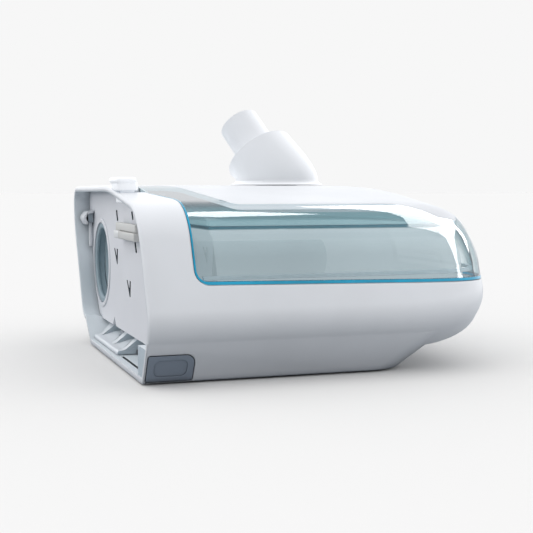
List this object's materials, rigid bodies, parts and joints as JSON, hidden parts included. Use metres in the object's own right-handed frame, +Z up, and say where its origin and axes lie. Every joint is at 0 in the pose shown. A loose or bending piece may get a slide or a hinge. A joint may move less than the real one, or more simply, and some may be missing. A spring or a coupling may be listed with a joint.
{
  "type": "docking heated humidifier module",
  "caption": "Bedside breathing machine's docking heated humidifier: open docking end, hinged clear lid, lift-out water tank over a sprung heater plate and a swivelling outlet elbow.",
  "frame": {"origin": "under the centre of the bounding box, on the ground plane the rubber feet stand on", "axes": "+X along the module from its open docking end to its rounded end, +Y from front to back, +Z up"},
  "size_m": [0.179, 0.195, 0.127],
  "materials": {
    "white_plastic": "satin moulded",
    "grey_plastic": "fine moulded grain",
    "light_grey_plastic": "fine moulded grain",
    "tinted_window": "polished clear with a blue-green tint",
    "clear_tank": "polished clear",
    "blue_rubber": "matt elastomer",
    "dark_rubber": "matt elastomer",
    "steel": "brushed",
    "contact_metal": "plated",
    "board": "solder mask",
    "cable": "satin sheath",
    "insulator": "pressed fibre board"
  },
  "bodies": {
    "base": {"outer_casing": "white_plastic", "base_plate": "grey_plastic", "foot_pad_1": "dark_rubber", "foot_pad_2": "dark_rubber", "foot_pad_3": "dark_rubber", "foot_pad_4": "dark_rubber", "base_screw_1": "steel", "base_screw_2": "steel", "base_screw_3": "steel", "base_screw_4": "steel", "dock_panel": "light_grey_plastic", "dock_hook": "white_plastic", "dock_ramp": "light_grey_plastic", "inlet_seal": "blue_rubber", "inlet_duct": "grey_plastic", "dock_connector": "white_plastic", "connector_contact_1": "contact_metal", "connector_contact_2": "contact_metal", "connector_contact_3": "contact_metal", "wire_harness": "cable", "circuit_board": "board", "tank_cradle": "light_grey_plastic", "hinge_pin": "steel", "button_spring": "steel", "latch_spring": "steel", "heater_spring_1": "steel", "heater_spring_2": "steel", "heater_spring_3": "steel", "heater_insulator": "insulator"},
    "heater": {"heater_plate": "steel", "heater_element": "steel", "temperature_sensor": "steel"},
    "tank": {"water_tank": "clear_tank", "tank_base_plate": "steel", "tank_seal": "blue_rubber", "tank_lid": "clear_tank", "tank_duct": "clear_tank"},
    "release_button": {"release_button": "grey_plastic", "dock_latch": "grey_plastic"},
    "lid_latch": {"lid_latch": "white_plastic"},
    "lid": {"lid_window": "tinted_window", "lid_top": "white_plastic", "lid_liner": "light_grey_plastic", "lid_gasket": "blue_rubber", "outlet_seal": "blue_rubber"},
    "outlet": {"outlet_elbow": "white_plastic", "outlet_tube": "white_plastic", "swivel_seal": "dark_rubber", "swivel_bush": "grey_plastic"}
  },
  "joints": [
    {"name": "lid_hinge", "type": "hinge", "parent": "base", "child": "lid", "pos_m": [-0.01549, 0.09452, 0.07], "axis": [-1, 0, 0], "range_deg": [0, 100]},
    {"name": "outlet_swivel", "type": "hinge", "parent": "lid", "child": "outlet", "pos_m": [0.01421, 0.03592, 0.08495], "axis": [0, 0, 1], "continuous": true},
    {"name": "lid_latch_slide", "type": "slide", "parent": "base", "child": "lid_latch", "axis": [1, 0, 0], "range_m": [0, 0.004], "stiffness_N_per_m": 150, "springref_m": -0.002, "deforming": ["latch_spring"]},
    {"name": "button_press", "type": "slide", "parent": "base", "child": "release_button", "axis": [0, 1, 0], "range_m": [0, 0.003], "stiffness_N_per_m": 300, "springref_m": -0.002, "deforming": ["button_spring"]},
    {"name": "heater_float", "type": "slide", "parent": "base", "child": "heater", "axis": [0, 0, -1], "range_m": [0, 0.0015], "deforming": ["heater_spring_1", "heater_spring_2", "heater_spring_3"]},
    {"name": "tank_float", "type": "slide", "parent": "base", "child": "tank", "axis": [0, 0, -1], "range_m": [0, 0.0015]}
  ],
  "couplings": [
    {"joint": "tank_float", "follows": "heater_float", "ratio": 1}
  ]
}
